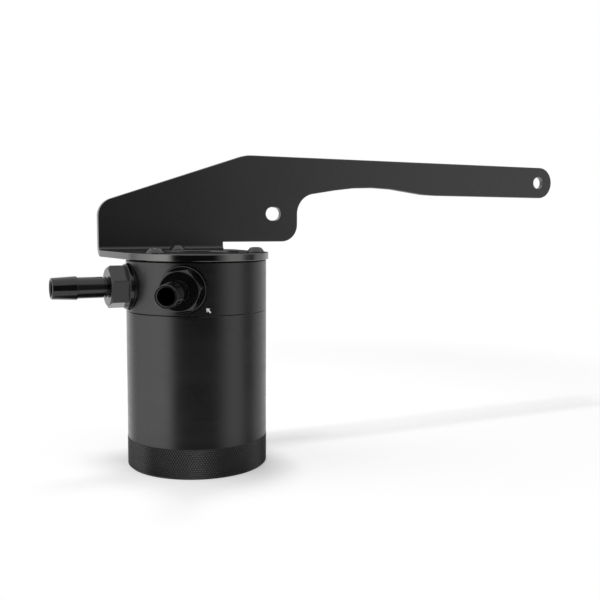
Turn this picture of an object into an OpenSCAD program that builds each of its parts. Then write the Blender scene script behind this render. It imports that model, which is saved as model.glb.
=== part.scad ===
// Oil catch can: a screw-on cup below a ported head, held by a folded sheet bracket.
// The origin is the centre of the cup's base. +Z is up, +X runs along the bracket's
// arm, and +Y points out of the back of the bracket's plate.

/* [Body] */
// Outer diameter of the cup and the head
body_d = 64.5; // [63:0.1:66]
// Height of the cup, from its base to the seam under the head
cup_h = 71.9; // [68:0.1:76]
// Height of the head, from the seam to the bracket
head_h = 23.5; // [23.2:0.1:26]
// Wall of the cup round the reservoir
cup_wall = 3.6; // [3:0.1:4]
// Floor of the cup
cup_floor = 5; // [4:0.1:7]
// Height of the grip band at the foot of the cup
band_h = 13.6; // [8:0.1:18]
// How far the grip band stands proud of the cup
band_proud = 0.15; // [0.1:0.05:0.6]

/* [Screw joint] */
// Depth of the head's spigot below the seam
spigot_h = 15; // [14.5:0.1:16]
// Outer diameter of the spigot, over its thread
spigot_d = 57.8; // [57.4:0.1:58]
// Radial gap between the spigot and the cup
spigot_gap = 0.3; // [0.25:0.05:0.4]
// Thickness of the sealing ring
ring_t = 2.2; // [2:0.1:2.4]

/* [Ports] */
// Height of the port axes above the base
port_z = 83.4; // [83.2:0.1:83.8]
// Direction of the inlet, from +X towards +Y
inlet_turn = 240; // [236:1:244]
// Direction of the outlet, from +X towards +Y
outlet_turn = 180; // [178:1:184]
// Distance from the can's axis to the flat spot face
spot_face = 30.6; // [30.2:0.1:30.8]
// Width of the fitting's hexagon across its flats
hex_af = 17; // [16:0.1:17.5]
// Outer diameter of the round collar under the hexagon
collar_d = 20.4; // [19:0.1:20.8]
// Largest diameter of the hose barb
barb_d = 10.4; // [9.8:0.1:10.6]
// Diameter of the stem behind the barb
stem_d = 9.4; // [9:0.1:9.6]
// Diameter of the passage through the fitting
passage_d = 6.8; // [6:0.1:7]
// Distance from the can's axis to the open end of the fitting
fitting_reach = 66.2; // [62:0.1:70]

/* [Bracket] */
// Thickness of the sheet
sheet_t = 3.1; // [3:0.1:3.2]
// Front face of the upright plate, behind the can's axis
plate_y = 36; // [35:0.1:38]
// Inside radius of the fold
fold_r = 2; // [1.5:0.1:3]
// Radius of the flange that follows the head
flange_r = 33.3; // [33:0.1:34]
// Left edge of the plate
plate_left = -36.9; // [-37:0.1:-36]
// Height of the top edge of the arm above the base
arm_top = 147; // [145:0.1:149]
// Width of the arm at its end
arm_w = 18.8; // [18:0.1:20]
// Distance from the can's axis to the end of the arm
arm_reach = 249; // [240:0.5:255]
// Length of the fixing slot in the plate
slot_len = 8.7; // [8:0.1:10]
// Length of the slot at the arm's end
end_slot_len = 7.5; // [7.5:0.1:9]
// Width of both slots
slot_w = 7; // [6.4:0.1:7.4]

/* [Screws] */
// Diameter of the circle that the bracket screws stand on
screw_circle_d = 55.2; // [54:0.1:56]
// Thread diameter of the bracket screws
screw_d = 4; // [3.8:0.1:4]
// Diameter of the button heads
screw_head_d = 8; // [7.6:0.1:8.2]
// Height of the button heads
screw_head_h = 2.4; // [2.2:0.1:2.6]

/* [Hidden] */
$fn = 96;
small_fn = 48;
black = "#202124";
steel = "#8f9499";
bronze = "#a5793f";
rubber = "#17181a";
// Overrun of a cut past the face that it opens
past = 1;

// Heights of the main levels
body_r = body_d / 2;
flange_z = cup_h + head_h;
flange_top = flange_z + sheet_t;
spigot_z = cup_h - spigot_h;
spigot_r = spigot_d / 2;
bore_r = spigot_r + spigot_gap;
edge = 0.3;

// The seal's groove in the spigot
groove_z = cup_h - 4.4;
groove_h = ring_t + 0.6;
seal_r = ring_t / 2;
seal_mid_r = spigot_r - seal_r;
groove_r = spigot_r - ring_t - 0.3;

// The head's boss, which fills the hole in the flange
boss_r = 19.6;
boss_gap = 0.4;
boss_h = 2.6;

// Chambers under the head
ceiling_z = 74;
spigot_in_r = 25.6;
column_r = 13;
column_z = 62;
filter_bore_r = 9.5;
filter_seat_z = 76;
plenum_r = 7.5;
plenum_z = 90.5;
duct_r = 4.5;

// The baffle and what holds it
baffle_t = 1.5;
baffle_z = 58.9;
baffle_r = 25.3;
post_r = 3.4;
post_mid_r = 19.5;
post_turns = [60, 180, 300];
small_screw_r = 1.25;
small_head_r = 2.8;
small_head_h = 1.5;
tube_mid_r = 19;
tube_r = 4.15;
tube_in_r = 3.3;
tube_low_z = 46;
tube_high_z = 76.3;

// The filter and its ring
filter_r = 9.35;
filter_in_r = 6.4;
filter_floor = 2.7;
snap_t = 1.2;
snap_r = 10.2;
snap_in_r = 7.9;
snap_groove_r = 10.35;
snap_groove_z = 62.45;

// Stations of the fitting, measured out from the can's axis
port_r = 6.6;
port_end = 20.5;
seal_well_r = 8.1;
seal_well = 1.9;
thread_r = 6.5;
thread_end = 21.5;
neck_r = 6.15;
washer_t = 1.5;
collar_end = spot_face + washer_t + 1.9;
hex_end = collar_end + 7.9;
bead_r = stem_d / 2;
bead_groove_r = bead_r - 0.55;
bead_end = hex_end + 1.3;
stem_start = hex_end + 2;
barb_start = fitting_reach - 10.9;
tip_r = 4.7;
mouth_r = 4;
inlet_hex_turn = 38;
outlet_hex_turn = 49;

// The plate's outline, as corners with their radii
step_x = 70.1;
step_low_z = 102.1;
fold_right = 27.4;
fold_top = flange_top + fold_r;
arm_low = arm_top - arm_w;
slot_big = [56, 116.8];
slot_inset = 10.5;
slot_end = [arm_reach - slot_inset, arm_top - arm_w / 2];
plate_corners = [
    [plate_left, fold_top, 0],
    [fold_right, fold_top, 0],
    [fold_right, step_low_z, 0],
    [step_x, step_low_z, 9],
    [step_x, 126.1, 11],
    [117.5, 133.8, 150],
    [151, arm_low, 110],
    [arm_reach, arm_low, arm_w / 2 - 0.01],
    [arm_reach, arm_top, arm_w / 2 - 0.01],
    [40.2, arm_top, 20],
    [plate_left, 121.5, 9]
];
flange_right = 31.3;
flange_back = plate_y - fold_r;

function unit(v) = v / norm(v);
function flat(p) = [p[0], p[1]];

// One corner of an outline: p is its place and radius, a and c are its neighbours
function corner(a, p, c) =
    p[2] == 0 ? [flat(p)] :
    let (
        u = unit(flat(a) - flat(p)),
        v = unit(flat(c) - flat(p)),
        half = acos(u * v) / 2,
        mid = flat(p) + unit(u + v) * p[2] / sin(half),
        start = flat(p) + u * p[2] / tan(half) - mid,
        from = atan2(start[1], start[0]),
        way = u[0] * v[1] - u[1] * v[0] > 0 ? -1 : 1,
        turn = 180 - 2 * half,
        count = max(ceil(turn / 7), ceil(turn / 360 * 2 * PI * p[2] / 4))
    )
    [for (i = [0 : count]) mid + p[2] * [cos(from + way * turn * i / count),
                                         sin(from + way * turn * i / count)]];

// An outline with its corners rounded
function rounded(pts) = [
    for (i = [0 : len(pts) - 1])
        each corner(pts[(i + len(pts) - 1) % len(pts)], pts[i], pts[(i + 1) % len(pts)])
];

// Points its contents outwards: what is built up +Z then runs away from the can's axis
module at_port(turn) {
    rotate([0, 0, turn])
        translate([0, 0, port_z])
            rotate([0, 90, 0])
                children();
}

module at_screw(index) {
    rotate([0, 0, 90 + 120 * index])
        translate([screw_circle_d / 2, 0, 0])
            children();
}

module at_post(index) {
    rotate([0, 0, post_turns[index]])
        translate([post_mid_r, 0, 0])
            children();
}

module at_tube() {
    rotate([0, 0, inlet_turn])
        translate([tube_mid_r, 0, 0])
            children();
}

// The turned cup with its grip band, and the bore that the spigot screws into
module cup() {
    inner_r = body_r - cup_wall;
    band_r = body_r + band_proud;
    shoulder_z = spigot_z - 1.5;
    color(black)
        rotate_extrude()
            polygon(rounded([
                [0, 0, 0],
                [band_r - 0.75, 0, 0],
                [band_r, 0.75, 0],
                [band_r, band_h - band_proud, 0],
                [body_r, band_h, 0],
                [body_r, cup_h - edge, 0],
                [body_r - edge, cup_h, 0],
                [bore_r + 0.6, cup_h, 0],
                [bore_r, cup_h - 0.6, 0],
                [bore_r, shoulder_z, 0],
                [inner_r, shoulder_z - 0.6, 0],
                [inner_r, cup_floor, 3],
                [0, cup_floor, 0]
            ]));
}

module head_blank() {
    rotate_extrude()
        polygon([
            [0, ceiling_z],
            [spigot_in_r, ceiling_z],
            [spigot_in_r, spigot_z],
            [spigot_r - 0.8, spigot_z],
            [spigot_r, spigot_z + 0.8],
            [spigot_r, groove_z],
            [groove_r, groove_z],
            [groove_r, groove_z + groove_h],
            [spigot_r, groove_z + groove_h],
            [spigot_r, cup_h],
            [body_r - edge, cup_h],
            [body_r, cup_h + edge],
            [body_r, flange_z - 0.7],
            [body_r - 0.7, flange_z],
            [boss_r, flange_z],
            [boss_r, flange_z + boss_h - edge],
            [boss_r - edge, flange_z + boss_h],
            [0, flange_z + boss_h]
        ]);
}

// What hangs from the head's ceiling: the filter's column and the baffle's posts
module head_hangers() {
    translate([0, 0, column_z])
        cylinder(r = column_r, h = ceiling_z - column_z + past);
    for (i = [0 : 2])
        at_post(i)
            translate([0, 0, baffle_z + baffle_t])
                cylinder(r = post_r, h = ceiling_z - baffle_z - baffle_t + past, $fn = small_fn);
}

module port_cuts(turn) {
    at_port(turn) {
        translate([0, 0, spot_face])
            cylinder(r = collar_d / 2 + 0.4, h = 5);
        translate([0, 0, spot_face - seal_well])
            cylinder(r = seal_well_r, h = seal_well + past, $fn = small_fn);
        translate([0, 0, port_end])
            cylinder(r = port_r, h = spot_face - port_end + past, $fn = small_fn);
    }
}

// The ported head: spigot, seal groove, ports, air passages and the boss on top
module head() {
    screw_bottom = 87;
    color(black)
        difference() {
            union() {
                head_blank();
                head_hangers();
            }
            translate([0, 0, column_z - past])
                cylinder(r = filter_bore_r, h = filter_seat_z - column_z + past, $fn = small_fn);
            translate([0, 0, filter_seat_z - past])
                cylinder(r = plenum_r, h = plenum_z - filter_seat_z + past, $fn = small_fn);
            translate([0, 0, snap_groove_z])
                cylinder(r = snap_groove_r, h = snap_t + 0.1, $fn = small_fn);
            port_cuts(inlet_turn);
            port_cuts(outlet_turn);
            at_port(outlet_turn)
                translate([0, 0, plenum_r - past])
                    cylinder(r = duct_r, h = port_end - plenum_r + 2 * past, $fn = small_fn);
            at_port(inlet_turn)
                translate([0, 0, tube_mid_r - duct_r])
                    cylinder(r = duct_r - 0.1, h = duct_r + 2 * past, $fn = small_fn);
            at_tube()
                translate([0, 0, ceiling_z - past])
                    cylinder(r = tube_r + 0.05, h = port_z - ceiling_z + past, $fn = small_fn);
            for (i = [0 : 2]) {
                at_screw(i)
                    translate([0, 0, screw_bottom])
                        cylinder(d = screw_d + 0.1, h = flange_top - screw_bottom, $fn = small_fn);
                at_post(i)
                    translate([0, 0, baffle_z])
                        cylinder(r = small_screw_r + 0.05, h = 9, $fn = small_fn);
            }
        }
}

// Rubber ring in the spigot's groove
module cup_seal() {
    color(rubber)
        translate([0, 0, groove_z + groove_h / 2])
            rotate_extrude()
                translate([seal_mid_r, 0])
                    circle(r = seal_r, $fn = 24);
}

module slot_cut(place, length) {
    half = (length - slot_w) / 2;
    translate([place[0], plate_y + sheet_t + past, place[1]])
        rotate([90, 0, 0])
            linear_extrude(sheet_t + 2 * past) {
                translate([-half, 0])
                    circle(d = slot_w, $fn = small_fn);
                translate([half, 0])
                    circle(d = slot_w, $fn = small_fn);
                square([2 * half, slot_w], center = true);
            }
}

module bracket_plate() {
    translate([0, plate_y + sheet_t, 0])
        rotate([90, 0, 0])
            linear_extrude(sheet_t)
                polygon(rounded(plate_corners));
}

// Quarter round of the fold, along the foot of the plate
module bracket_fold() {
    translate([plate_left, flange_back, fold_top])
        rotate([90, 0, 90])
            linear_extrude(fold_right - plate_left)
                intersection() {
                    difference() {
                        circle(r = fold_r + sheet_t);
                        circle(r = fold_r);
                    }
                    translate([0, -20])
                        square(20);
                }
}

// Flange under the fold: it follows the head at the front and the fold at the back
module bracket_flange() {
    far = norm([plate_left, plate_y]);
    touch = atan2(plate_y, plate_left) + acos(flange_r / far);
    translate([0, 0, flange_z])
        linear_extrude(sheet_t)
            difference() {
                union() {
                    circle(r = flange_r, $fn = 180);
                    polygon(rounded([
                        [0, 0, 0],
                        [(flange_r - 0.02) * cos(touch), (flange_r - 0.02) * sin(touch), 0],
                        [plate_left, flange_back, 0],
                        [flange_right, flange_back, 3],
                        [flange_right, 0, 0]
                    ]));
                }
                circle(r = boss_r + boss_gap);
            }
}

// The bracket, laser cut from one sheet and folded once
module bracket() {
    color(black)
        difference() {
            union() {
                bracket_plate();
                bracket_fold();
                bracket_flange();
            }
            slot_cut(slot_big, slot_len);
            slot_cut(slot_end, end_slot_len);
            for (i = [0 : 2])
                at_screw(i)
                    translate([0, 0, flange_z - past])
                        cylinder(d = screw_d + 0.4, h = sheet_t + 2 * past, $fn = small_fn);
        }
}

// Button-head screw with a hexagon socket, one of three round the flange
module bracket_screw(index) {
    shank = 10;
    crown_r = 2.1;
    color(black)
        at_screw(index)
            translate([0, 0, flange_top])
                difference() {
                    union() {
                        rotate_extrude($fn = small_fn)
                            polygon(rounded([
                                [0, 0, 0],
                                [screw_head_d / 2, 0, 0],
                                [screw_head_d / 2, 0.4, 0],
                                [3.4, 1.5, 1.8],
                                [crown_r, screw_head_h, 0.6],
                                [0, screw_head_h, 0]
                            ]));
                        translate([0, 0, -shank])
                            cylinder(d = screw_d, h = shank + 0.2, $fn = small_fn);
                    }
                    translate([0, 0, screw_head_h - 1.4])
                        cylinder(d = 2.5 / cos(30), h = 2, $fn = 6);
                }
}

// Hose fitting: threaded end, collar, hexagon, stem and a single long barb
module hose_fitting(turn, hex_angle) {
    hex_corner_r = (hex_af / 2) / cos(30);
    color(black)
        at_port(turn)
            difference() {
                union() {
                    rotate_extrude()
                        polygon([
                            [0, thread_end],
                            [thread_r - 0.6, thread_end],
                            [thread_r, thread_end + 0.6],
                            [thread_r, spot_face - seal_well],
                            [neck_r, spot_face - seal_well],
                            [neck_r, spot_face + washer_t],
                            [collar_d / 2 - 0.3, spot_face + washer_t],
                            [collar_d / 2, spot_face + washer_t + 0.3],
                            [collar_d / 2, collar_end - 0.4],
                            [collar_d / 2 - 0.4, collar_end],
                            [bead_groove_r, collar_end],
                            [bead_groove_r, hex_end + 0.6],
                            [bead_r, hex_end + 0.7],
                            [bead_r, bead_end],
                            [bead_groove_r, bead_end + 0.1],
                            [bead_groove_r, stem_start],
                            [stem_d / 2, stem_start],
                            [stem_d / 2, barb_start],
                            [barb_d / 2, barb_start],
                            [barb_d / 2, barb_start + 0.8],
                            [tip_r, fitting_reach - 0.2],
                            [tip_r - 0.2, fitting_reach],
                            [0, fitting_reach]
                        ]);
                    intersection() {
                        translate([0, 0, collar_end - 0.2])
                            rotate([0, 0, hex_angle])
                                cylinder(d = hex_af / cos(30), h = hex_end - collar_end + 0.2, $fn = 6);
                        rotate_extrude()
                            polygon([
                                [0, collar_end - past],
                                [hex_corner_r + past, collar_end - past],
                                [hex_corner_r + past, hex_end - 1.1],
                                [hex_af / 2 - 0.2, hex_end],
                                [0, hex_end]
                            ]);
                    }
                }
                translate([0, 0, thread_end - past])
                    cylinder(d = passage_d, h = fitting_reach - thread_end + 2 * past, $fn = small_fn);
                translate([0, 0, fitting_reach - 0.6])
                    cylinder(r1 = passage_d / 2, r2 = mouth_r + 0.6, h = 1.2, $fn = small_fn);
            }
}

// Sealing washer between a fitting's collar and the spot face
module port_washer(turn) {
    color(black)
        at_port(turn)
            translate([0, 0, spot_face])
                difference() {
                    cylinder(d = collar_d - 0.2, h = washer_t, $fn = small_fn);
                    translate([0, 0, -past])
                        cylinder(r = neck_r + 0.1, h = washer_t + 2 * past, $fn = small_fn);
                }
}

// Rubber ring in the well at a port's mouth
module port_seal(turn) {
    section_r = 0.9;
    color(rubber)
        at_port(turn)
            translate([0, 0, spot_face - seal_well / 2])
                rotate_extrude($fn = small_fn)
                    translate([(neck_r + seal_well_r) / 2, 0])
                        circle(r = section_r, $fn = 20);
}

// Drop tube that takes the incoming air down past the baffle
module inlet_tube() {
    color(steel)
        at_tube()
            translate([0, 0, tube_low_z])
                difference() {
                    cylinder(r = tube_r, h = tube_high_z - tube_low_z, $fn = small_fn);
                    translate([0, 0, -past])
                        cylinder(r = tube_in_r, h = tube_high_z - tube_low_z + 2 * past, $fn = small_fn);
                }
}

// Perforated plate that keeps splashed oil away from the filter
module baffle() {
    hole_r = 1.3;
    notch_r = 2;
    color(steel)
        translate([0, 0, baffle_z])
            difference() {
                cylinder(r = baffle_r, h = baffle_t);
                for (ring = [[8, 8], [12.6, 14]], i = [0 : ring[1] - 1])
                    rotate([0, 0, 360 * i / ring[1]])
                        translate([ring[0], 0, -past])
                            cylinder(r = hole_r, h = baffle_t + 2 * past, $fn = 24);
                for (i = [0 : 5])
                    rotate([0, 0, 60 * i + 30])
                        translate([baffle_r, 0, -past])
                            cylinder(r = notch_r, h = baffle_t + 2 * past, $fn = 24);
                for (i = [0 : 2])
                    at_post(i)
                        translate([0, 0, -past])
                            cylinder(r = small_screw_r + 0.25, h = baffle_t + 2 * past, $fn = 24);
                at_tube()
                    translate([0, 0, -past])
                        cylinder(r = tube_r + 0.25, h = baffle_t + 2 * past, $fn = small_fn);
            }
}

// Pan-head screw that holds the baffle to one post
module baffle_screw(index) {
    shank = 6.5;
    color(steel)
        at_post(index)
            difference() {
                union() {
                    translate([0, 0, baffle_z - small_head_h])
                        cylinder(r1 = small_head_r - 0.6, r2 = small_head_r, h = small_head_h, $fn = small_fn);
                    translate([0, 0, baffle_z - 0.2])
                        cylinder(r = small_screw_r, h = shank, $fn = 24);
                }
                translate([0, 0, baffle_z - small_head_h - past])
                    cylinder(d = 2 / cos(30), h = past + 0.9, $fn = 6);
            }
}

// Sintered cup that catches the oil mist on its way to the outlet
module filter_element() {
    low = snap_groove_z + snap_t + 0.05;
    color(bronze)
        difference() {
            translate([0, 0, low])
                cylinder(r = filter_r, h = filter_seat_z - low, $fn = small_fn);
            translate([0, 0, low + filter_floor])
                cylinder(r = filter_in_r, h = filter_seat_z - low, $fn = small_fn);
        }
}

// Open spring ring that holds the filter in its bore
module filter_ring() {
    gap_w = 5;
    color(steel)
        translate([0, 0, snap_groove_z + 0.02])
            difference() {
                cylinder(r = snap_r, h = snap_t, $fn = small_fn);
                translate([0, 0, -past])
                    cylinder(r = snap_in_r, h = snap_t + 2 * past, $fn = small_fn);
                translate([0, -gap_w / 2, -past])
                    cube([snap_r + past, gap_w, snap_t + 2 * past]);
            }
}

bracket();
bracket_screw(0);  // bracket_screw_1
bracket_screw(1);  // bracket_screw_2
bracket_screw(2);  // bracket_screw_3
head();
cup();
cup_seal();
hose_fitting(inlet_turn, inlet_hex_turn);  // inlet_fitting
port_washer(inlet_turn);  // inlet_washer
port_seal(inlet_turn);  // inlet_seal
hose_fitting(outlet_turn, outlet_hex_turn);  // outlet_fitting
port_washer(outlet_turn);  // outlet_washer
port_seal(outlet_turn);  // outlet_seal
inlet_tube();
baffle();
baffle_screw(0);  // baffle_screw_1
baffle_screw(1);  // baffle_screw_2
baffle_screw(2);  // baffle_screw_3
filter_element();
filter_ring();
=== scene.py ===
# Oil catch can: a turned cup under a ported head, hung from a folded sheet bracket.
# Sizes are in millimetres, and MM turns them into the frame's metres.
import math

import bmesh
import bpy
from mathutils import Matrix, Quaternion, Vector
from mathutils.geometry import tessellate_polygon


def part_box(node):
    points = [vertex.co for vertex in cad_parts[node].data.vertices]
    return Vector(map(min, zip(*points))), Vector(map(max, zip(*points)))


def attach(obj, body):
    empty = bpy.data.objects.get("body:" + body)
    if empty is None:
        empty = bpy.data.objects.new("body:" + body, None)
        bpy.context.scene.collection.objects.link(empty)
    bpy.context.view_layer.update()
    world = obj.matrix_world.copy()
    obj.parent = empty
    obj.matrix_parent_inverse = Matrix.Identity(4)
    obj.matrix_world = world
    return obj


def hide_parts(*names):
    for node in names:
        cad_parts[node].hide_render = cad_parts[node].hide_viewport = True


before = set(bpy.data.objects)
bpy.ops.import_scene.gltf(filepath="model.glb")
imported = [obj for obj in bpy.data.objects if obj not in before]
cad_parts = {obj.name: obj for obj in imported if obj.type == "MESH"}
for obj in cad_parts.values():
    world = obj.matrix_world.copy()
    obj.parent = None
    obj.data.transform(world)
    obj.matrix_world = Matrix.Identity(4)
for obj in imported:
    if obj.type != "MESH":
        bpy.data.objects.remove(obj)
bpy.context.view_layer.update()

MM = 0.001
WELD = 0.002 * MM
CREASE = math.radians(17)
ARC_STEP = 13


# Sizes, some taken from the frame and some given

def box_mm(node):
    """Lowest and highest corner of a CAD node, in millimetres."""
    low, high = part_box(node)
    return low / MM, high / MM


cup_high = box_mm("cup")[1]
head_low, head_high = box_mm("head")
sheet_low, sheet_high = box_mm("bracket")
outlet_low, outlet_high = box_mm("outlet_fitting")
washer_low, washer_high = box_mm("outlet_washer")
seal_low, seal_high = box_mm("cup_seal")
screw_low, screw_high = box_mm("bracket_screw_1")

body_r = head_high.x
grip_r = cup_high.x
band_top = 13.6
seam_z = cup_high.z
thread_pitch = 1.5
port_z = (outlet_low.z + outlet_high.z) / 2
inlet_turn = 240
outlet_turn = 180
collar_z = -washer_high.x
flange_z = sheet_low.z
boss_top = head_high.z
screw_circle_r = 27.6
screw_turns = (90, 210, 330)
tube_circle_r = 19
post_circle_r = 19.5
post_turns = (60, 180, 300)
sheet_t = 3.1
sheet_top = flange_z + sheet_t


# Outlines

def arc(centre, radius, first, last, step=ARC_STEP):
    """Points on an arc from one angle to another, in degrees."""
    count = max(1, math.ceil(abs(last - first) / step))
    turns = [math.radians(first + (last - first) * i / count) for i in range(count + 1)]
    return [(centre[0] + radius * math.cos(t), centre[1] + radius * math.sin(t)) for t in turns]


def round_corner(before, corner, after, radius, step):
    """The corner of an outline, rounded to a radius."""
    place = Vector(corner[:2])
    u = (Vector(before[:2]) - place).normalized()
    v = (Vector(after[:2]) - place).normalized()
    half = u.angle(v) / 2
    if radius <= 0 or abs(half - math.pi / 2) < 0.001:
        return [tuple(place)]
    centre = place + (u + v).normalized() * radius / math.sin(half)
    start = place + u * radius / math.tan(half) - centre
    first = math.degrees(math.atan2(start.y, start.x))
    sweep = 180 - 2 * math.degrees(half)
    if u.x * v.y - u.y * v.x > 0:
        sweep = -sweep
    return arc(centre, radius, first, first + sweep, step)


def rounded(corners, ease=0.0, step=ARC_STEP):
    """An outline from corners (x, y) or (x, y, radius); ease is the radius where none is given."""
    points = []
    for i, corner in enumerate(corners):
        radius = corner[2] if len(corner) > 2 else ease
        after = corners[(i + 1) % len(corners)]
        points += round_corner(corners[i - 1], corner, after, radius, step)
    return points


def eased(profile, ease):
    """A turned profile whose first and last point stay sharp."""
    first, last = (*profile[0][:2], 0), (*profile[-1][:2], 0)
    return rounded([first, *profile[1:-1], last], ease)


def offset(loop, distance):
    """A closed loop moved to its left by a distance, corner by corner."""
    moved = []
    for i, point in enumerate(loop):
        here = Vector(point)
        u = (here - Vector(loop[i - 1])).normalized()
        v = (Vector(loop[(i + 1) % len(loop)]) - here).normalized()
        across = Vector((-u.y - v.y, u.x + v.x)).normalized()
        moved.append(tuple(here + across * distance / across.dot(Vector((-u.y, u.x)))))
    return moved


# Meshes

def piece_from(name, points, faces):
    """A new object with these points, in millimetres, and these faces."""
    mesh = bpy.data.meshes.new(name)
    mesh.from_pydata([Vector(p) * MM for p in points], [], faces)
    piece = bpy.data.objects.new(name, mesh)
    bpy.context.scene.collection.objects.link(piece)
    return piece


def lathe(rings, closed=False):
    """Points and faces of rings joined one to the next. A ring of one point is a pole."""
    points, starts = [], []
    for ring in rings:
        starts.append(len(points))
        points += ring
    faces = []
    count = max(len(ring) for ring in rings)
    pairs = list(zip(range(len(rings) - 1), range(1, len(rings))))
    if closed:
        pairs.append((len(rings) - 1, 0))
    for a, b in pairs:
        for i in range(count):
            j = (i + 1) % count
            lower = [starts[a]] if len(rings[a]) == 1 else [starts[a] + i, starts[a] + j]
            upper = [starts[b]] if len(rings[b]) == 1 else [starts[b] + j, starts[b] + i]
            faces.append(lower + upper)
    return points, faces


def round_ring(radius, height, segments):
    """A ring of points about Z, or one point where the radius is nothing."""
    if radius < 0.0001:
        return [(0, 0, height)]
    turns = [math.tau * i / segments for i in range(segments)]
    return [(radius * math.cos(t), radius * math.sin(t), height) for t in turns]


def turned(name, profile, segments, closed=False):
    """A profile of (radius, height) points, from the bottom centre outwards, turned about Z."""
    rings = [round_ring(r, z, segments) for r, z in profile]
    return piece_from(name, *lathe(rings, closed))


def open_mesh(*pieces):
    """A mesh to be edited, with all that these pieces hold."""
    mesh = bmesh.new()
    for piece in pieces:
        mesh.from_mesh(piece.data)
    return mesh


def close_mesh(mesh, piece, outwards=True):
    """Puts an edited mesh back into a piece, with its faces turned outwards."""
    if outwards:
        bmesh.ops.recalc_face_normals(mesh, faces=mesh.faces)
    mesh.to_mesh(piece.data)
    mesh.free()


def point_outwards(piece):
    """Welds a closed mesh and turns its faces outwards."""
    mesh = open_mesh(piece)
    bmesh.ops.remove_doubles(mesh, verts=mesh.verts, dist=WELD)
    close_mesh(mesh, piece)


def settle(piece):
    """Swaps a piece's live modifiers for the mesh that they make."""
    graph = bpy.context.evaluated_depsgraph_get()
    mesh = bpy.data.meshes.new_from_object(piece.evaluated_get(graph))
    piece.modifiers.clear()
    piece.data = mesh


def smooth(piece, crease=CREASE):
    """Shades a piece smooth up to its creases, led by its larger faces."""
    piece.data.polygons.foreach_set("use_smooth", [True] * len(piece.data.polygons))
    piece.data.set_sharp_from_angle(angle=crease)
    modifier = piece.modifiers.new("led_by_faces", "WEIGHTED_NORMAL")
    modifier.keep_sharp = True
    settle(piece)


def cut(piece, tools, operation="DIFFERENCE"):
    """Cuts tools out of a piece, or adds them to it, and removes them."""
    for tool in tools:
        modifier = piece.modifiers.new("cut", "BOOLEAN")
        modifier.operation = operation
        modifier.solver = "EXACT"
        modifier.object = tool
    settle(piece)
    for tool in tools:
        bpy.data.objects.remove(tool)


def join(piece, others):
    """Adds other pieces' meshes to a piece and removes them."""
    close_mesh(open_mesh(piece, *others), piece, outwards=False)
    for part in others:
        bpy.data.objects.remove(part)


def move(piece, matrix):
    """Moves a piece's mesh and leaves its object at the origin."""
    piece.data.transform(matrix)


def at_port(turn):
    """Turns what stands on Z outwards along a port, as in the head's own frame."""
    lift = Matrix.Translation((0, 0, port_z * MM))
    return Matrix.Rotation(math.radians(turn), 4, "Z") @ lift @ Matrix.Rotation(math.pi / 2, 4, "Y")


def polar(radius, degrees, height):
    """A place at a radius and an angle about the can's axis."""
    turn = math.radians(degrees)
    return Vector((radius * math.cos(turn), radius * math.sin(turn), height)) * MM


def rod(radius, low, high, segments=64):
    """A plain round bar about Z, used as a cutting tool."""
    bar = turned("rod", [(0, low), (radius, low), (radius, high), (0, high)], segments)
    point_outwards(bar)
    return bar


def on_circle(circle_r, turns, radius, low, high, segments):
    """Upright round bars at some angles of a circle about the can's axis."""
    bars = []
    for turn in turns:
        bar = rod(radius, low, high, segments)
        move(bar, Matrix.Translation(polar(circle_r, turn, 0)))
        bars.append(bar)
    return bars


# Node trees

def place(tree, kind, inputs=None, **settings):
    """Adds a node, sets it up, and fills or links its inputs."""
    node = tree.nodes.new(kind)
    for name, value in settings.items():
        setattr(node, name, value)
    for key, value in (inputs or {}).items():
        if isinstance(value, bpy.types.NodeSocket):
            tree.links.new(value, node.inputs[key])
        else:
            node.inputs[key].default_value = value
    return node


def calc(tree, operation, *values):
    """A Math node's result."""
    return place(tree, "ShaderNodeMath", dict(enumerate(values)), operation=operation).outputs[0]


def vector_calc(tree, operation, *values):
    """A Vector Math node's vector and value."""
    return place(tree, "ShaderNodeVectorMath", dict(enumerate(values)), operation=operation).outputs


def vector(tree, **parts):
    """A vector made of its parts X, Y and Z."""
    return place(tree, "ShaderNodeCombineXYZ", parts).outputs[0]


def parts_of(tree, whole):
    """The parts X, Y and Z of a vector."""
    return place(tree, "ShaderNodeSeparateXYZ", {0: whole}).outputs


def mix_value(tree, share, first, second):
    """A value between two others."""
    return place(tree, "ShaderNodeMix", {
        "Factor": share, "A": first, "B": second,
    }, data_type="FLOAT").outputs[0]


def ramp_value(tree, value, first, last, low=0.0, high=1.0):
    """A value that runs evenly from low to high while another runs from first to last."""
    return place(tree, "ShaderNodeMapRange", {
        "Value": value, "From Min": first, "From Max": last, "To Min": low, "To Max": high,
    }).outputs[0]


def eased_value(tree, value, first, last, low=0.0, high=1.0):
    """A value that eases from low to high while another runs from first to last."""
    return place(tree, "ShaderNodeMapRange", {
        "Value": value, "From Min": first, "From Max": last, "To Min": low, "To Max": high,
    }, interpolation_type="SMOOTHSTEP").outputs[0]


def new_tree(name, kind, inputs, outputs):
    """A node group with named inputs (name, type, value) and outputs (name, type)."""
    tree = bpy.data.node_groups.new(name, kind)
    for label, sort, value in inputs:
        socket = tree.interface.new_socket(label, in_out="INPUT", socket_type="NodeSocket" + sort)
        if value is not None:
            socket.default_value = value
    for label, sort in outputs:
        tree.interface.new_socket(label, in_out="OUTPUT", socket_type="NodeSocket" + sort)
    return tree, place(tree, "NodeGroupInput").outputs, place(tree, "NodeGroupOutput").inputs


def end_tree(tree, shape, material, result):
    """Ends a geometry tree in real faces that carry the material."""
    real = place(tree, "GeometryNodeRealizeInstances", {"Geometry": shape})
    dressed = place(tree, "GeometryNodeSetMaterial", {"Geometry": real.outputs[0], "Material": material})
    tree.links.new(dressed.outputs[0], result["Geometry"])


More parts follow.
